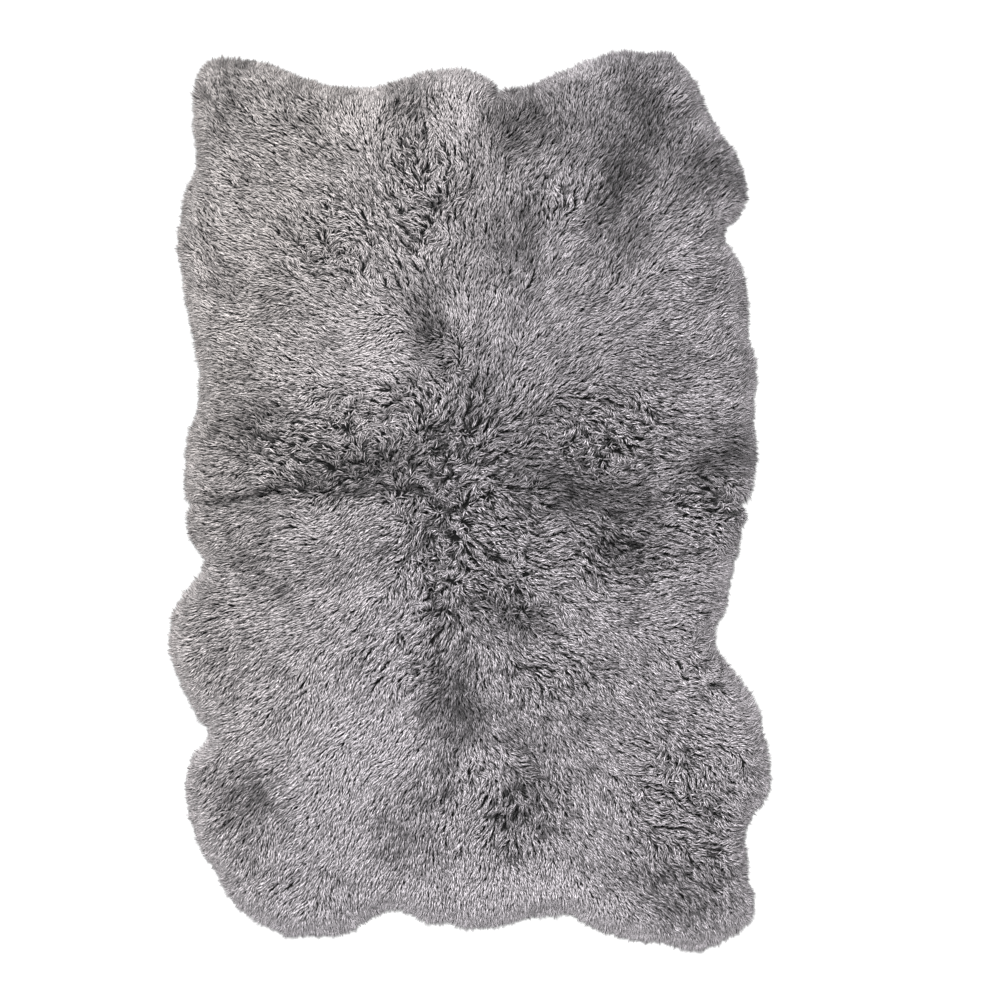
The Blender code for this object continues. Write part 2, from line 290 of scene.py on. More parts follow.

# Where the fleece is ruffled into waves with dark lines of painted shade between them; elsewhere it
# lies calm.
rufflePlaces = [
    {"across": -0.24, "along": 0.52, "wide": 0.12, "long": 0.10, "ruffle": 0.8},
    {"across": -0.10, "along": 0.62, "wide": 0.08, "long": 0.16, "ruffle": 0.9},
    {"across": 0.18, "along": 0.60, "wide": 0.08, "long": 0.07, "ruffle": 0.6},
    {"across": 0.28, "along": 0.13, "wide": 0.12, "long": 0.08, "ruffle": 1.1},
    {"across": 0.48, "along": -0.03, "wide": 0.09, "long": 0.07, "ruffle": 1.2},
    {"across": -0.04, "along": 0.10, "wide": 0.16, "long": 0.14, "ruffle": 0.9},
    {"across": 0.02, "along": -0.10, "wide": 0.16, "long": 0.14, "ruffle": 1.1},
    {"across": 0.28, "along": -0.10, "wide": 0.14, "long": 0.08, "ruffle": 0.8},
    {"across": -0.14, "along": -0.30, "wide": 0.12, "long": 0.10, "ruffle": 0.7},
    {"across": 0.16, "along": -0.34, "wide": 0.12, "long": 0.07, "ruffle": 0.8},
    {"across": 0.06, "along": -0.62, "wide": 0.14, "long": 0.12, "ruffle": 0.8},
    {"across": 0.44, "along": -0.60, "wide": 0.13, "long": 0.16, "ruffle": 1.0},
    {"across": 0.48, "along": -0.30, "wide": 0.10, "long": 0.10, "ruffle": 0.7},
    {"across": -0.30, "along": 0.10, "wide": 0.14, "long": 0.09, "ruffle": 1.0},
    {"across": -0.36, "along": -0.40, "wide": 0.10, "long": 0.08, "ruffle": 0.4},
]
combSizes = {"calmCentre": 0.24, "rimReach": 0.035, "rimEase": 1.5}
toneSizes = {"borderScale": 16.0, "borderDrift": 0.035, "borderSeed": 20, "strength": 1.2}
calmRuffle = 0.25
spotFade = 1.6
noise.seed_set(toneSizes["borderSeed"])  # unseeded, noise vectors change from run to run


def layAt(places, rimDistance, rimInward):
    # direction of the tips and its firmness, from the crossing outwards
    outward = places - crossing
    apart = np.linalg.norm(outward, axis=1)[:, None]
    outward /= apart + combSizes["calmCentre"]
    for spot in layPlaces:
        away = places - (spot["across"], spot["along"])
        weight = spot["hold"] * np.exp(-(away ** 2).sum(axis=1) / (2 * spot["reach"] ** 2))
        angle = math.radians(spot["lay"])
        aim = np.array((math.cos(angle), math.sin(angle)))
        outward = outward * (1 - weight[:, None]) + aim * weight[:, None]
    edge = np.clip(1 - rimDistance / combSizes["rimReach"], 0, 1)[:, None] ** combSizes["rimEase"]
    return outward * (1 - edge) - rimInward * edge


def spotShare(places, spot):
    # one in the middle of a broad place, fading out past its half width and half length
    across = (places[:, 0] - spot["across"]) / spot["wide"]
    along = (places[:, 1] - spot["along"]) / spot["long"]
    return np.exp(-(across ** 2 + along ** 2) / spotFade)


def toneAt(places):
    # each place is looked up a little aside, so that the patches have uneven borders
    scale = toneSizes["borderScale"]
    aside = np.array([noise.noise_vector((x * scale, y * scale, 0.0))[:2] for x, y in places])
    places = places + aside * toneSizes["borderDrift"]
    tone = np.zeros(len(places))
    for spot in tonePlaces:
        tone += spot["tone"] * spotShare(places, spot)
    return tone * toneSizes["strength"]


def ruffleAt(places):
    ruffle = np.full(len(places), calmRuffle)
    for spot in rufflePlaces:
        ruffle = np.maximum(ruffle, spot["ruffle"] * spotShare(places, spot))
    return ruffle


# The woolly body of each pelt, over its hide

bodySizes = {"hide": 0.0028, "hideGap": 0.0003, "edgeInset": 0.005, "edgeStep": 0.008,
             "grid": 0.012, "rowShare": 0.866, "jitter": 0.2, "clear": 0.5, "merge": 1e-6,
             "shoulder": 0.034, "lockStand": 0.013, "leastHeight": 0.008, "edgeHeight": 0.0035,
             "seamReach": 0.016, "seamDip": 0.001, "creaseDip": 0.007, "creaseEnd": -0.05,
             "creaseFade": 0.06, "rimBand": 0.03, "nodBand": 0.02, "rimNod": 0.5, "upward": 0.05}
# the rim's lifts are painted light, and the crease's shade is painted shade
bodyTonesAndPaintedLight = {"rimPaintedLight": 0.05, "footBand": 0.05, "footRimPaintedLight": 0.36, "headShade": 0.035,
             "headFade": 0.4, "ruffleLift": 0.27, "creaseShade": 0.28}


def cadTopReader(node):
    mesh = node.data
    mesh.calc_loop_triangles()
    corners = [v.co.copy() for v in mesh.vertices]
    tree = BVHTree.FromPolygons(corners, [t.vertices[:] for t in mesh.loop_triangles])

    def top(x, y):
        hit = tree.ray_cast(Vector((x, y, 1.0)), Vector((0, 0, -1)))[0]
        return hit.z if hit else 0.0
    return top


def gridInside(loop, rng):
    # uneven rows of points, clear of the loop
    sizes = bodySizes
    low, high = loop.min(axis=0), loop.max(axis=0)
    rows = int((high[1] - low[1]) / (sizes["grid"] * sizes["rowShare"])) + 1
    columns = int((high[0] - low[0]) / sizes["grid"]) + 1
    row, column = np.mgrid[0:rows, 0:columns]
    grid = np.stack([low[0] + (column + row % 2 / 2) * sizes["grid"],
                     low[1] + row * sizes["grid"] * sizes["rowShare"]], axis=-1).reshape(-1, 2)
    grid += rng.uniform(-sizes["jitter"], sizes["jitter"], grid.shape) * sizes["grid"]
    clear = distanceToLine(grid, np.vstack([loop, loop[:1]])) > sizes["grid"] * sizes["clear"]
    return grid[insideLoop(grid, loop) & clear]


def woolToneAndPaintedLight(places, rimDistance, rimShare, rimInward, ruffle, creaseShare):
    # painted light on the rim, most of all on the rim that faces the foot, and the foot is lighter
    # too
    tones = bodyTonesAndPaintedLight
    footward = np.clip(rimInward[:, 1], 0, 1)
    footRimLightShare = footward * np.clip(1 - rimDistance / tones["footBand"], 0, 1)
    tone = toneAt(places) + tones["ruffleLift"] * ruffle
    tone += tones["rimPaintedLight"] * rimShare + tones["footRimPaintedLight"] * footRimLightShare
    tone -= tones["headShade"] * np.clip(places[:, 1] / tones["headFade"], -1, 1)
    # painted shade along the crease of the left seam
    return tone - tones["creaseShade"] * creaseShare


def closedShell(name, places, height, faces, ring):
    # the wool's top, walled down along its ring to a flat sole
    count = len(places)
    verts = [(x, y, z) for (x, y), z in zip(places, height)]
    verts += [(x, y, bodySizes["hide"]) for x, y in places[:ring]]
    polygons = [tuple(face) for face in faces]
    polygons += [(i, count + i, count + (i + 1) % ring, (i + 1) % ring) for i in range(ring)]
    polygons.append(tuple(range(count + ring - 1, count - 1, -1)))
    mesh = bpy.data.meshes.new(name)
    mesh.from_pydata(verts, [], polygons)
    bm = bmesh.new()
    bm.from_mesh(mesh)
    bmesh.ops.triangulate(bm, faces=[f for f in bm.faces if len(f.verts) > 4])
    bmesh.ops.recalc_face_normals(bm, faces=bm.faces[:])
    bm.to_mesh(mesh)
    bm.free()
    return mesh


def readVectors(items, label):
    values = np.zeros(len(items) * 3, np.float32)
    items.foreach_get(label, values)
    return values.reshape(-1, 3)


def makeBody(name):
    sizes = bodySizes
    seam, rim = insetLoop(name, sizes["edgeInset"], sizes["edgeStep"])
    loop = np.vstack([seam, rim])
    ring = len(loop)
    points = np.vstack([loop, gridInside(loop, np.random.default_rng(len(name)))])
    borders = [(i, (i + 1) % ring) for i in range(ring)]
    places, _, faces, _, _, _ = delaunay_2d_cdt(
        [Vector(p) for p in points], borders, [], 1, sizes["merge"])
    places = np.array([p[:] for p in places])
    rimDistance = distanceToLine(places, rim)
    seamDistance = distanceToLine(places, outlines[name]["seam"])
    nearest = np.argmin(np.linalg.norm(places[:, None] - rim[None], axis=2), axis=1)
    rimInward = inwardOf(rim)[nearest]

    top = cadTopReader(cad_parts[name])
    full = np.maximum(np.array([top(*p) for p in places]) - sizes["lockStand"],
                      sizes["leastHeight"])
    share = np.clip(rimDistance / sizes["shoulder"], 0, 1)
    height = sizes["edgeHeight"] + (full - sizes["edgeHeight"]) * np.sqrt(1 - (1 - share) ** 2)
    # only the seam on the left shows as a crease
    crease = np.clip((sizes["creaseEnd"] - places[:, 0]) / sizes["creaseFade"], 0, 1)
    seamShare = np.clip(1 - seamDistance / sizes["seamReach"], 0, 1)
    depth = sizes["seamDip"] + (sizes["creaseDip"] - sizes["seamDip"]) * crease
    height -= depth * seamShare * share
    mesh = closedShell(name + "_body", places, height, faces, ring)

    rimShare = np.clip(1 - rimDistance / sizes["rimBand"], 0, 1)
    ruffle = ruffleAt(places)
    nod = -sizes["rimNod"] * np.clip(1 - rimDistance / sizes["nodBand"], 0, 1)[:, None]
    comb = np.concatenate([layAt(places, rimDistance, rimInward), nod], axis=1)
    tone = woolToneAndPaintedLight(places, rimDistance, rimShare, rimInward, ruffle, crease * seamShare)
    # the ground takes painted crevice shade as strong as its ruffle, and the sole's ring repeats the
    # ring above it
    for label, values in (("comb", comb), ("tone", tone), ("rimShare", rimShare),
                          ("ruffle", ruffle), ("crevice", ruffle)):
        kind, field = ("FLOAT_VECTOR", "vector") if label == "comb" else ("FLOAT", "value")
        attribute = mesh.attributes.new(label, kind, "POINT")
        spread = np.concatenate([values, values[:ring]])
        attribute.data.foreach_set(field, spread.ravel().astype(np.float32))
    woolly = mesh.attributes.new("woolly", "BOOLEAN", "FACE")
    woolly.data.foreach_set("value", readVectors(mesh.polygons, "normal")[:, 2] > sizes["upward"])
    body = bpy.data.objects.new(name + "_body", mesh)
    scene.collection.objects.link(body)
    return body


# One lock of wool: a slim four-sided leaf that springs from its root, bows over and ends in a point.
# A shelf holds several of one kind: locks for the coat, finer wisps for the rim.

shapesPerShelf = 8
shapeSpread = {"length": (0.8, 1.2), "halfWidth": (0.8, 1.25)}
lockSizes = {"length": 0.0185, "halfWidth": 0.0016, "widest": 0.48,
             "rootLean": (46, 62), "tipLean": (82, 100), "curl": 0.20, "wave": 0.10}
wispSizes = {"length": 0.020, "halfWidth": 0.0008, "widest": 0.40,
             "rootLean": (45, 65), "tipLean": (84, 100), "curl": 0.24, "wave": 0.10}


def lockMesh(name, sizes, rng):
    length = sizes["length"] * rng.uniform(*shapeSpread["length"])
    half = sizes["halfWidth"] * rng.uniform(*shapeSpread["halfWidth"])
    rootLean = math.radians(rng.uniform(*sizes["rootLean"]))
    tipLean = math.radians(rng.uniform(*sizes["tipLean"]))
    curl = rng.uniform(-1, 1) * sizes["curl"] * length
    wave = rng.uniform(-1, 1) * sizes["wave"] * length
    widest = sizes["widest"]
    rise = Vector((math.sin(rootLean), 0.0, math.cos(rootLean)))
    reach = Vector((math.sin(tipLean), 0.0, math.cos(tipLean)))
    middle = rise * length * widest
    tip = middle + reach * length * (1 - widest)
    middle.y, tip.y = wave, curl
    side = Vector((0.0, half, 0.0))
    bm = bmesh.new()
    uvLayer = bm.loops.layers.uv.new("lockUv")
    root, end = bm.verts.new((0, 0, 0)), bm.verts.new(tip)
    left, right = bm.verts.new(middle - side), bm.verts.new(middle + side)
    # the top faces take the map from a third of its width on, the faces below the rest
    for verts, spread in (((root, right, left), (2 / 3, 1, 1 / 3)),
                          ((end, left, right), (2 / 3, 1 / 3, 1)),
                          ((root, left, end), (0, 1 / 6, 0)),
                          ((root, end, right), (1 / 3, 1 / 3, 1 / 6))):
        for loop, u in zip(bm.faces.new(verts).loops, spread):
            loop[uvLayer].uv = (u, {root: 0.0, end: 1.0}.get(loop.vert, widest))
    bmesh.ops.recalc_face_normals(bm, faces=bm.faces[:])
    mesh = bpy.data.meshes.new(name)
    bm.to_mesh(mesh)
    bm.free()
    mesh.shade_smooth()
    return mesh


def makeShelf(label, sizes, seed):
    shelf = bpy.data.collections.new(label + "Shapes")
    rng = random.Random(seed)
    for index in range(shapesPerShelf):
        name = f"{label}Shape{index}"
        shelf.objects.link(bpy.data.objects.new(name, lockMesh(name, sizes, rng)))
    return shelf


lockShelf = makeShelf("lock", lockSizes, 11)
wispShelf = makeShelf("wisp", wispSizes, 12)
print("lock and wisp shapes ready")

# Node helpers


def addNode(tree, kind, **settings):
    node = tree.nodes.new(kind)
    for key, value in settings.items():
        setattr(node, key, value)
    return node


def feed(tree, target, source):
    # source is an output socket, or a plain value
    if isinstance(source, bpy.types.NodeSocket):
        tree.links.new(source, target)
    else:
        target.default_value = source


def mathNode(tree, operation, a, b=None, clamp=False):
    node = addNode(tree, "ShaderNodeMath", operation=operation, use_clamp=clamp)
    feed(tree, node.inputs[0], a)
    if b is not None:
        feed(tree, node.inputs[1], b)
    return node.outputs[0]


def product(tree, *factors):
    result = factors[0]
    for factor in factors[1:]:
        result = mathNode(tree, "MULTIPLY", result, factor)
    return result


def vectorMath(tree, operation, a, b=None, scale=None):
    node = addNode(tree, "ShaderNodeVectorMath", operation=operation)
    feed(tree, node.inputs[0], a)
    if b is not None:
        feed(tree, node.inputs[1], b)
    if scale is not None:
        feed(tree, node.inputs["Scale"], scale)
    return node.outputs["Value"] if operation in ("LENGTH", "DOT_PRODUCT") else node.outputs[0]


def mapRange(tree, value, fromSpan=(0.0, 1.0), toSpan=(0.0, 1.0), smooth=False):
    node = addNode(tree, "ShaderNodeMapRange",
                   interpolation_type="SMOOTHSTEP" if smooth else "LINEAR")
    labels = ("Value", "From Min", "From Max", "To Min", "To Max")
    for label, source in zip(labels, (value, *fromSpan, *toSpan)):
        feed(tree, node.inputs[label], source)
    return node.outputs["Result"]


def combined(tree, x=0.0, y=0.0, z=0.0):
    node = addNode(tree, "ShaderNodeCombineXYZ")
    for label, source in zip("XYZ", (x, y, z)):
        feed(tree, node.inputs[label], source)
    return node.outputs[0]


def parted(tree, vector):
    node = addNode(tree, "ShaderNodeSeparateXYZ")
    feed(tree, node.inputs[0], vector)
    return node.outputs


def noiseAt(tree, place, scale, detail=2.0):
    node = addNode(tree, "ShaderNodeTexNoise")
    feed(tree, node.inputs["Vector"], place)
    node.inputs["Scale"].default_value = scale
    node.inputs["Detail"].default_value = detail
    return node.outputs


def cellsAt(tree, place, scale, feature="F1"):
    node = addNode(tree, "ShaderNodeTexVoronoi", feature=feature)
    feed(tree, node.inputs["Vector"], place)
    node.inputs["Scale"].default_value = scale
    return node.outputs


def randomNumber(tree, span, seed):
    node = addNode(tree, "FunctionNodeRandomValue", data_type="FLOAT")
    feed(tree, node.inputs[2], span[0])
    feed(tree, node.inputs[3], span[1])
    feed(tree, node.inputs["Seed"], seed)
    return node.outputs[1]


def named(tree, label, kind):
    node = addNode(tree, "GeometryNodeInputNamedAttribute", data_type=kind)
    node.inputs["Name"].default_value = label
    return node.outputs["Attribute"]


def storeNamed(tree, geometry, label, kind, value):
    node = addNode(tree, "GeometryNodeStoreNamedAttribute", data_type=kind, domain="POINT")
    feed(tree, node.inputs["Geometry"], geometry)
    node.inputs["Name"].default_value = label
    feed(tree, node.inputs["Value"], value)
    return node.outputs["Geometry"]


def moved(tree, geometry, offset):
    node = addNode(tree, "GeometryNodeSetPosition")
    feed(tree, node.inputs["Geometry"], geometry)
    feed(tree, node.inputs["Offset"], offset)
    return node.outputs["Geometry"]


def swirl(tree, place, shape, share):
    # a level vector that wanders over the rug, from minus to plus half the strength
    scale, strength = shape
    level = vectorMath(tree, "SUBTRACT", noiseAt(tree, place, scale, 1.0)["Color"], (0.5, 0.5, 0.5))
    level = vectorMath(tree, "MULTIPLY", level, (strength, strength, 0.0))
    return vectorMath(tree, "SCALE", level, scale=share)


# Wool coat: locks planted on a body, combed along its lay and gathered into pointed tufts.
# The keys of these two are the named inputs of its tree.

fleece = {"Spacing": 0.00233, "Crowd": 400000.0, "Length": 1.0, "Width": 1.0,
          "Bundle Width": 0.009, "Bundle Length": 0.048, "Gather": 1.0, "Bundle Turn": 0.5,
          "Stray": 0.10, "Tilt": 0.10, "Dome": 0.007, "Shingle": 0.003, "Crimp": 0.011,
          "Rim Slim": 0.55, "Rim Only": 0.0, "Keep Body": True}
edgeWool = {"Spacing": 0.0009, "Crowd": 700000.0, "Length": 1.0, "Width": 1.0,
            "Bundle Width": 0.010, "Bundle Length": 0.030, "Gather": 0.5, "Bundle Turn": 0.4,
            "Stray": 0.15, "Tilt": 0.12, "Dome": 0.0, "Shingle": 0.0, "Crimp": 0.004,
            "Rim Slim": 0.0, "Rim Only": 1.0, "Keep Body": False}
# swirls: how many to a metre, and how strong
coatShape = {"whorls": (19.0, 2.5), "drift": (8.0, 2.8), "calmDrift": 0.4, "ruffledDrift": 0.6,
             "ripple": (38.0, 2.6), "crimp": (60.0, 2.0), "regions": 14.0, "regionApart": 30.0,
             "bundleBorder": 0.16, "domeFoot": 0.6, "jitter": (1.0, 1.0, 0.3),
             "roll": (-0.5, 0.5), "growth": (0.7, 1.25), "girth": (0.7, 1.3)}


def scatterRoots(tree, given, rimShare):
    # all over the body, or towards the rim alone
    allOver = mathNode(tree, "SUBTRACT", 1.0, given["Rim Only"])
    cover = mathNode(tree, "ADD", allOver, product(tree, rimShare, given["Rim Only"]), clamp=True)
    scatter = addNode(tree, "GeometryNodeDistributePointsOnFaces", distribute_method="POISSON")
    for label, source in (("Mesh", given["Geometry"]), ("Density Factor", cover),
                          ("Selection", named(tree, "woolly", "BOOLEAN")),
                          ("Distance Min", given["Spacing"]), ("Density Max", given["Crowd"]),
                          ("Seed", given["Seed"])):
        feed(tree, scatter.inputs[label], source)
    return scatter.outputs


def wanderingComb(tree, here, ruffle):
    restless = mathNode(tree, "ADD", product(tree, ruffle, coatShape["ruffledDrift"]),
                        coatShape["calmDrift"], clamp=True)
    comb = vectorMath(tree, "ADD", named(tree, "comb", "FLOAT_VECTOR"),
                      swirl(tree, here, coatShape["drift"], restless))
    return vectorMath(tree, "ADD", comb, swirl(tree, here, coatShape["whorls"], ruffle))


def bundleCells(tree, given, here, level, side):
    # long cells that lie along the comb, laid out afresh in each region
    regions = cellsAt(tree, here, coatShape["regions"])
    local = vectorMath(tree, "SUBTRACT", here, regions["Position"])
    across = mathNode(tree, "DIVIDE", vectorMath(tree, "DOT_PRODUCT", local, side),
                      given["Bundle Width"])
    along = mathNode(tree, "DIVIDE", vectorMath(tree, "DOT_PRODUCT", local, level),
                     given["Bundle Length"])
    apart = product(tree, vectorMath(tree, "LENGTH", regions["Color"]), coatShape["regionApart"])
    flow = combined(tree, across, along, apart)
    cells = cellsAt(tree, flow, 1.0)
    border = cellsAt(tree, flow, 1.0, "DISTANCE_TO_EDGE")["Distance"]
    inside = mapRange(tree, border, (0.0, coatShape["bundleBorder"]), smooth=True)
    toCentre = parted(tree, vectorMath(tree, "SUBTRACT", cells["Position"], flow))
    return cells["Color"], inside, toCentre


def lockHeading(tree, given, start, side, ruffle, cellColor, toCentre):
    # pulled to the bundle's middle, turned aside with it, and a little astray
    pull = product(tree, toCentre["X"], given["Gather"], ruffle)
    heading = vectorMath(tree, "ADD", start, vectorMath(tree, "SCALE", side, scale=pull))
    aside = vectorMath(tree, "SUBTRACT", cellColor, (0.5, 0.5, 0.5))
    aside = vectorMath(tree, "MULTIPLY", aside, (1.0, 1.0, 0.0))
    aside = vectorMath(tree, "SCALE", aside, scale=product(tree, given["Bundle Turn"], ruffle))
    heading = vectorMath(tree, "ADD", heading, aside)
    jitter = addNode(tree, "FunctionNodeRandomValue", data_type="FLOAT_VECTOR")
    jitter.inputs[0].default_value = [-v for v in coatShape["jitter"]]
    jitter.inputs[1].default_value = coatShape["jitter"]
    feed(tree, jitter.inputs["Seed"], 5)
    stray = vectorMath(tree, "SCALE", jitter.outputs[0], scale=given["Stray"])
    return vectorMath(tree, "ADD", heading, stray)


def lockPose(tree, given, normal, heading):
    stand = addNode(tree, "FunctionNodeAlignRotationToVector", axis="Z")
    feed(tree, stand.inputs["Vector"], normal)
    lie = addNode(tree, "FunctionNodeAlignRotationToVector", axis="X", pivot_axis="Z")
    feed(tree, lie.inputs["Rotation"], stand.outputs["Rotation"])
    feed(tree, lie.inputs["Vector"], heading)
    tilt = randomNumber(tree, (product(tree, given["Tilt"], -1.0), given["Tilt"]), 7)
    turn = addNode(tree, "FunctionNodeEulerToRotation")
    feed(tree, turn.inputs[0], combined(tree, randomNumber(tree, coatShape["roll"], 6), tilt))
    pose = addNode(tree, "FunctionNodeRotateRotation", rotation_space="LOCAL")
    feed(tree, pose.inputs["Rotation"], lie.outputs["Rotation"])
    feed(tree, pose.inputs["Rotate By"], turn.outputs[0])
    return pose.outputs["Rotation"]


def lockSize(tree, given, rimShare):
    grow = product(tree, given["Length"], randomNumber(tree, coatShape["growth"], 8))
    slim = mathNode(tree, "SUBTRACT", 1.0, product(tree, rimShare, given["Rim Slim"]))
    girth = product(tree, given["Width"], randomNumber(tree, coatShape["girth"], 9), slim)
    return combined(tree, grow, girth, grow)


def bundleRise(tree, given, ruffle, rimShare, inside, toCentre):
    # bundles are round across and lie like shingles along the comb
    dome = product(tree, mathNode(tree, "SUBTRACT", inside, coatShape["domeFoot"]),
                   given["Dome"], ruffle)
    rise = mathNode(tree, "SUBTRACT", dome, product(tree, toCentre["Y"], given["Shingle"]))
    return combined(tree, z=product(tree, rise, mathNode(tree, "SUBTRACT", 1.0, rimShare)))


def plantLocks(tree, given, points, pose, size):
    shapes = addNode(tree, "GeometryNodeCollectionInfo")
    feed(tree, shapes.inputs["Collection"], given["Lock Shapes"])
    shapes.inputs["Separate Children"].default_value = True
    pick = addNode(tree, "FunctionNodeRandomValue", data_type="INT")
    pick.inputs[4].default_value = 0
    pick.inputs[5].default_value = shapesPerShelf - 1
    pick.inputs["Seed"].default_value = 12
    plant = addNode(tree, "GeometryNodeInstanceOnPoints")
    for label, source in (("Points", points), ("Instance", shapes.outputs[0]),
                          ("Pick Instance", True), ("Instance Index", pick.outputs[2]),
                          ("Rotation", pose), ("Scale", size)):
        feed(tree, plant.inputs[label], source)
    realize = addNode(tree, "GeometryNodeRealizeInstances")
    feed(tree, realize.inputs[0], plant.outputs["Instances"])
    return realize.outputs[0]


def makeCoatTree():
    tree = bpy.data.node_groups.new("woolCoat", "GeometryNodeTree")
    face = tree.interface
    face.new_socket("Geometry", in_out="OUTPUT", socket_type="NodeSocketGeometry")
    for label, kind in (("Geometry", "Geometry"), ("Lock Shapes", "Collection"),
                        ("Wool", "Material"), ("Seed", "Int")):
        face.new_socket(label, in_out="INPUT", socket_type="NodeSocket" + kind)
    for label, value in fleece.items():
        kind = "NodeSocketBool" if isinstance(value, bool) else "NodeSocketFloat"
        face.new_socket(label, in_out="INPUT", socket_type=kind).default_value = value
    given = tree.nodes.new("NodeGroupInput").outputs
    result = tree.nodes.new("NodeGroupOutput").inputs

    here = addNode(tree, "GeometryNodeInputPosition").outputs[0]
    rimShare = named(tree, "rimShare", "FLOAT")
    ruffle = named(tree, "ruffle", "FLOAT")
    comb = wanderingComb(tree, here, ruffle)
    level = vectorMath(tree, "NORMALIZE", vectorMath(tree, "MULTIPLY", comb, (1.0, 1.0, 0.0)))
    side = vectorMath(tree, "CROSS_PRODUCT", level, (0.0, 0.0, 1.0))
    cellColor, inside, toCentre = bundleCells(tree, given, here, level, side)
    rippled = vectorMath(tree, "ADD", comb, swirl(tree, here, coatShape["ripple"], ruffle))
    heading = lockHeading(tree, given, rippled, side, ruffle, cellColor, toCentre)

    scatter = scatterRoots(tree, given, rimShare)
    points = moved(tree, scatter["Points"],
                   bundleRise(tree, given, ruffle, rimShare, inside, toCentre))
    number = addNode(tree, "GeometryNodeInputIndex").outputs[0]
    points = storeNamed(tree, points, "lockNumber", "INT", number)
    bundleTone = mathNode(tree, "SUBTRACT", parted(tree, cellColor)["Z"], 0.5)
    # painted shade in the crevices between bundles, the more the more ruffled
    crevice = product(tree, mathNode(tree, "SUBTRACT", 1.0, inside), ruffle)
    for label, value in (("lockTone", randomNumber(tree, (-1.0, 1.0), 10)),
                         ("bundleTone", bundleTone), ("crevice", crevice)):
        points = storeNamed(tree, points, label, "FLOAT", value)
    pose = lockPose(tree, given, scatter["Normal"], heading)
    locks = plantLocks(tree, given, points, pose, lockSize(tree, given, rimShare))

    # crimp: neighbours wave together, the more the nearer to the tip
    toTip = parted(tree, named(tree, "lockUv", "FLOAT_VECTOR"))["Y"]
    bend = product(tree, toTip, given["Crimp"], ruffle)
    locks = moved(tree, locks, swirl(tree, here, coatShape["crimp"], bend))

    # the kept body reads the lock map at its corner, so it takes the edges' and root's painted shade
    keep = addNode(tree, "GeometryNodeSwitch", input_type="GEOMETRY")
    feed(tree, keep.inputs["Switch"], given["Keep Body"])
    feed(tree, keep.inputs["True"], storeNamed(tree, given["Geometry"], "lockNumber", "INT", -1))
    join = addNode(tree, "GeometryNodeJoinGeometry")
    feed(tree, join.inputs[0], locks)
    feed(tree, join.inputs[0], keep.outputs[0])
    dress = addNode(tree, "GeometryNodeSetMaterial")
    feed(tree, dress.inputs["Geometry"], join.outputs[0])
    feed(tree, dress.inputs["Material"], given["Wool"])
    feed(tree, result["Geometry"], dress.outputs[0])
    return tree


coatTree = makeCoatTree()
coatSockets = {item.name: item.identifier for item in coatTree.interface.items_tree
               if item.item_type == "SOCKET" and item.in_out == "INPUT"}
print("coat tree ready")

# Finishes

# how dark the painted shade gets in each lock's strand gaps, along its edges and at its root, calm
# and ruffled
fibreInputs = {"Strands": 1.5, "Calm Gap": 0.60, "Ruffled Gap": 0.35, "Edge Start": 0.22,
               "Calm Edge": 0.22, "Ruffled Edge": 0.02, "Calm Root": 0.50, "Ruffled Root": 0.08,
               "Root Reach": 0.45, "Depth": 1.8}
fibreShape = {"lockApart": 40.0, "wanderAlong": 3.0, "wander": 1.8, "gapStart": 0.40}


def attributeOf(tree, label):
    return addNode(tree, "ShaderNodeAttribute", attribute_name=label).outputs["Fac"]


def makeFibreGroup():
    # painted shade on each lock: dark along its edges and at its root, the root partly its own
    # darker colour, with fine strands between
    group = bpy.data.node_groups.new("woolFibre", "ShaderNodeTree")
    face = group.interface
    for label, value in fibreInputs.items():
        face.new_socket(label, in_out="INPUT", socket_type="NodeSocketFloat").default_value = value
    for label in ("Shade", "Height"):
        face.new_socket(label, in_out="OUTPUT", socket_type="NodeSocketFloat")
    given = group.nodes.new("NodeGroupInput").outputs
    result = group.nodes.new("NodeGroupOutput").inputs
    lockUv = parted(group, addNode(group, "ShaderNodeUVMap", uv_map="lockUv").outputs[0])
    ruffle = attributeOf(group, "ruffle")

    # strands wander along the lock, with painted shade in the gaps between them
    apart = product(group, attributeOf(group, "lockTone"), fibreShape["lockApart"])
    along = product(group, lockUv["Y"], fibreShape["wanderAlong"])
    wander = noiseAt(group, combined(group, 0.0, along, apart), 1.0)[0]
    strandAt = mathNode(group, "ADD", product(group, lockUv["X"], given["Strands"]),
                        product(group, wander, fibreShape["wander"]))
    inStrand = mathNode(group, "SUBTRACT", mathNode(group, "FRACT", strandAt), 0.5)
    inStrand = product(group, mathNode(group, "ABSOLUTE", inStrand), 2.0)
    gapShade = mapRange(group, ruffle, toSpan=(given["Calm Gap"], given["Ruffled Gap"]))
    gaps = mapRange(group, inStrand, (fibreShape["gapStart"], 1.0), (1.0, gapShade))

    # the top's ridge lies at two thirds of the map, and its edges a third away; painted shade
    # darkens it towards its edges
    ridge = mathNode(group, "ABSOLUTE", mathNode(group, "SUBTRACT", lockUv["X"], 2 / 3))
    edgeShade = mapRange(group, ruffle, toSpan=(given["Calm Edge"], given["Ruffled Edge"]))
    edges = mapRange(group, product(group, ridge, 3.0), (given["Edge Start"], 1.0),
                     (1.0, edgeShade), smooth=True)
    rootShade = mapRange(group, ruffle, toSpan=(given["Calm Root"], given["Ruffled Root"]))
    rootToTip = mapRange(group, lockUv["Y"], (0.0, given["Root Reach"]), (rootShade, 1.0),
                         smooth=True)
    shade = product(group, edges, rootToTip, gaps)
    # Depth deepens the painted shade; the strand gaps also give the bump its height
    feed(group, result["Shade"], mathNode(group, "POWER", shade, given["Depth"]))
    feed(group, result["Height"], gaps)
    return group


fibreGroup = makeFibreGroup()


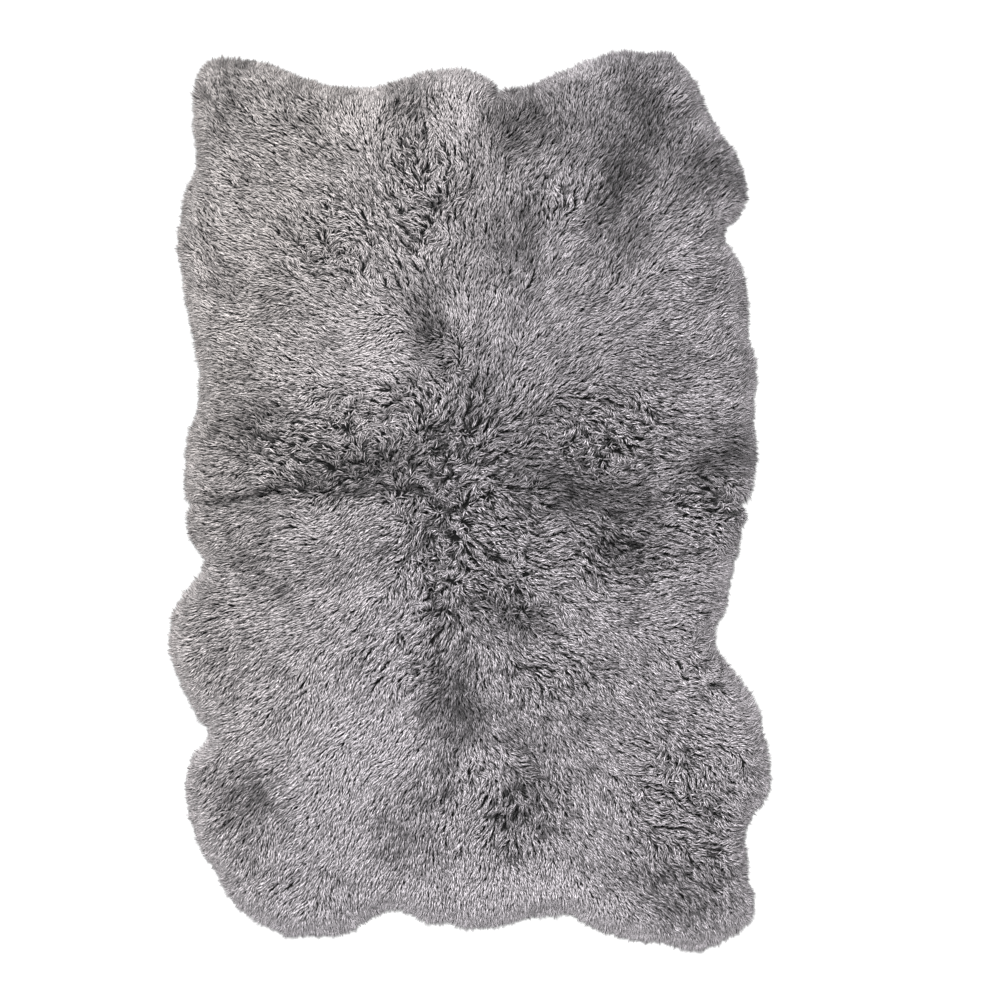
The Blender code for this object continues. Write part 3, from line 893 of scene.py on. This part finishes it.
def newFinish(name, settings):
    material = bpy.data.materials.new(name)
    material.use_nodes = True
    shader = material.node_tree.nodes["Principled BSDF"]
    for label, value in settings.items():
        shader.inputs[label].default_value = value
    place = addNode(material.node_tree, "ShaderNodeTexCoord").outputs["Object"]
    return material, material.node_tree, shader, place


def raiseRelief(tree, shader, height, relief):
    bump = addNode(tree, "ShaderNodeBump")
    bump.inputs["Strength"].default_value, bump.inputs["Distance"].default_value = relief
    feed(tree, bump.inputs["Height"], height)
    feed(tree, shader.inputs["Normal"], bump.outputs[0])


woolShader = {"Roughness": 0.85, "Specular IOR Level": 0.25, "Sheen Weight": 0.25,
              "Sheen Roughness": 0.45}
# shares: what each attribute adds to the light, the crevice's being painted shade; patches: how many
# to a metre, how strong
woolColors = {"warm": (0.772, 0.715, 0.700), "cool": (0.752, 0.705, 0.746),
              "warmSide": (1.0, -0.4, 0.0), "warmToCool": (-0.60, -0.05),
              "shares": {"lockTone": 0.09, "bundleTone": 0.10, "crevice": -0.85},
              "patches": ((70.0, 0.16), (30.0, 0.34), (13.0, 0.42)),
              "darkest": 0.15, "contrast": 2.2, "brightest": 1.3, "relief": (0.5, 0.0006)}


def makeWool(name):
    material, tree, shader, place = newFinish(name, woolShader)
    acrossRug = vectorMath(tree, "DOT_PRODUCT", place, woolColors["warmSide"])
    hue = addNode(tree, "ShaderNodeMix", data_type="RGBA")
    feed(tree, hue.inputs["Factor"], mapRange(tree, acrossRug, woolColors["warmToCool"]))
    hue.inputs[6].default_value = (*woolColors["warm"], 1.0)
    hue.inputs[7].default_value = (*woolColors["cool"], 1.0)
    light = mathNode(tree, "ADD", attributeOf(tree, "tone"), 1.0)
    for label, share in woolColors["shares"].items():
        light = mathNode(tree, "ADD", light, product(tree, attributeOf(tree, label), share))
    for scale, strength in woolColors["patches"]:
        patch = mathNode(tree, "SUBTRACT", noiseAt(tree, place, scale, 1.0)[0], 0.5)
        light = mathNode(tree, "ADD", light, product(tree, patch, strength))
    light = mathNode(tree, "MAXIMUM", light, woolColors["darkest"])
    light = mathNode(tree, "POWER", light, woolColors["contrast"])
    light = mathNode(tree, "MINIMUM", light, woolColors["brightest"])
    fibre = addNode(tree, "ShaderNodeGroup", node_tree=fibreGroup).outputs
    color = vectorMath(tree, "SCALE", hue.outputs[2], scale=product(tree, light, fibre["Shade"]))
    feed(tree, shader.inputs["Base Color"], color)
    raiseRelief(tree, shader, fibre["Height"], woolColors["relief"])
    return material


wool = makeWool("sheepWool")

suedeShader = {"Roughness": 0.95}
suedeColors = {"nap": 14.0, "napDetail": 8.0, "grain": 900.0, "relief": (0.4, 0.0005),
               "tints": ((0.3, (0.50, 0.455, 0.40, 1.0)), (0.7, (0.70, 0.655, 0.59, 1.0)))}


def makeSuede():
    material, tree, shader, place = newFinish("suede", suedeShader)
    tint = addNode(tree, "ShaderNodeValToRGB")
    for element, (position, color) in zip(tint.color_ramp.elements, suedeColors["tints"]):
        element.position = position
        element.color = color
    nap = noiseAt(tree, place, suedeColors["nap"], suedeColors["napDetail"])
    feed(tree, tint.inputs[0], nap[0])
    feed(tree, shader.inputs["Base Color"], tint.outputs[0])
    grain = noiseAt(tree, place, suedeColors["grain"])
    raiseRelief(tree, shader, grain[0], suedeColors["relief"])
    return material


suede = makeSuede()
print("finishes ready")

# Building the pieces

floorRest = {"clearance": 0.0004, "ease": 0.004}  # low tips bend up over this height
# the map that colours are baked to: a strip for the body, then a cell for each lock
bakeSheet = {"bodyShare": 0.10, "margin": 0.12, "left": 0.02, "soleAt": 0.51, "wide": 0.44,
             "foot": 0.005, "along": 0.9, "up": 0.05, "tall": 0.85}


def growCoat(body, name, shelf, settings, seed):
    piece = bpy.data.objects.new(name, body.data)
    scene.collection.objects.link(piece)
    modifier = piece.modifiers.new("woolCoat", "NODES")
    modifier.node_group = coatTree
    for label, value in {**settings, "Lock Shapes": shelf, "Wool": wool, "Seed": seed}.items():
        modifier[coatSockets[label]] = value
    bpy.context.view_layer.update()
    evaluated = piece.evaluated_get(bpy.context.evaluated_depsgraph_get())
    mesh = bpy.data.meshes.new_from_object(evaluated)
    piece.modifiers.remove(modifier)
    piece.data = mesh
    mesh.name = name
    settleOnFloor(mesh)
    layOutBake(mesh)
    for label in ("comb", "rimShare", "woolly"):
        if label in mesh.attributes:
            mesh.attributes.remove(mesh.attributes[label])
    mesh.shade_smooth()
    return piece


def settleOnFloor(mesh):
    clearance, ease = floorRest["clearance"], floorRest["ease"]
    places = readVectors(mesh.vertices, "co")
    low = places[:, 2] < clearance + ease
    sunk = places[low, 2] - clearance
    places[low, 2] = clearance + ease * np.exp(np.minimum(sunk, ease) / ease - 1)
    mesh.vertices.foreach_set("co", places.ravel())
    mesh.update()


def layOutBake(mesh):
    sheet = bakeSheet
    count = len(mesh.loops)
    vertexOf = np.zeros(count, np.int32)
    mesh.loops.foreach_get("vertex_index", vertexOf)
    number = np.zeros(len(mesh.vertices), np.int32)
    mesh.attributes["lockNumber"].data.foreach_get("value", number)
    lock = number[vertexOf]
    uv = np.zeros(count * 2, np.float32)
    mesh.uv_layers["lockUv"].data.foreach_get("uv", uv)
    uv = uv.reshape(-1, 2)
    total = int(lock.max()) + 1
    columns = math.ceil(math.sqrt(total / (1 - sheet["bodyShare"])))
    rows = math.ceil(total / columns)
    inner = sheet["margin"] + uv * (1 - 2 * sheet["margin"])
    out = np.empty_like(uv)
    out[:, 0] = (lock % columns + inner[:, 0]) / columns
    out[:, 1] = sheet["bodyShare"] + (lock // columns + inner[:, 1]) / rows * (
        1 - sheet["bodyShare"])
    body = lock < 0
    if body.any():
        flat = readVectors(mesh.vertices, "co")[vertexOf][body]
        low, high = flat.min(axis=0), flat.max(axis=0)
        share = (flat - low) / (high - low)
        polygonOf = np.repeat(np.arange(len(mesh.polygons)),
                              np.array([p.loop_total for p in mesh.polygons]))
        upper = readVectors(mesh.polygons, "normal")[polygonOf][body][:, 2] > 0.0
        rise = share[:, 1] * sheet["along"] + share[:, 2] * sheet["up"]
        out[body, 0] = np.where(upper, 0.0, sheet["soleAt"]) + sheet["left"] + (
            share[:, 0] * sheet["wide"])
        out[body, 1] = sheet["foot"] + rise * sheet["bodyShare"] * sheet["tall"]
    layer = mesh.uv_layers.new(name="OFBake")
    layer.data.foreach_set("uv", out.ravel())


def makeHide(name, label):
    sizes = bodySizes
    seam, rim = insetLoop(name, sizes["edgeInset"], sizes["edgeStep"])
    loop = np.vstack([seam, rim])
    mesh = bpy.data.meshes.new(label)
    mesh.from_pydata([(x, y, sizes["hideGap"]) for x, y in loop], [], [tuple(range(len(loop)))])
    bm = bmesh.new()
    bm.from_mesh(mesh)
    bmesh.ops.triangulate(bm, faces=bm.faces[:])
    upper = bmesh.ops.extrude_face_region(bm, geom=bm.faces[:], use_keep_orig=True)["geom"]
    for vert in upper:
        if isinstance(vert, bmesh.types.BMVert):
            vert.co.z = sizes["hide"] - sizes["hideGap"]
    bmesh.ops.recalc_face_normals(bm, faces=bm.faces[:])
    bm.to_mesh(mesh)
    bm.free()
    mesh.materials.append(suede)
    hide = bpy.data.objects.new(label, mesh)
    scene.collection.objects.link(hide)
    return hide, abs(signedArea(loop))


def trianglesOf(piece):
    return sum(len(face.vertices) - 2 for face in piece.data.polygons)


coatSeed, edgeSeed = 20, 40

for number, name in enumerate(pelts):
    label = name.removeprefix("pelt_")
    body = makeBody(name)
    coat = growCoat(body, "wool_" + label, lockShelf, fleece, coatSeed + number)
    edge = growCoat(body, "edge_wool_" + label, wispShelf, edgeWool, edgeSeed + number)
    hide, area = makeHide(name, "hide_" + label)
    bpy.data.objects.remove(body, do_unlink=True)
    for piece in (coat, edge, hide):
        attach(piece, "root")
    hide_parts(name)
    print(label, "triangles:", *(trianglesOf(piece) for piece in (coat, edge, hide)))
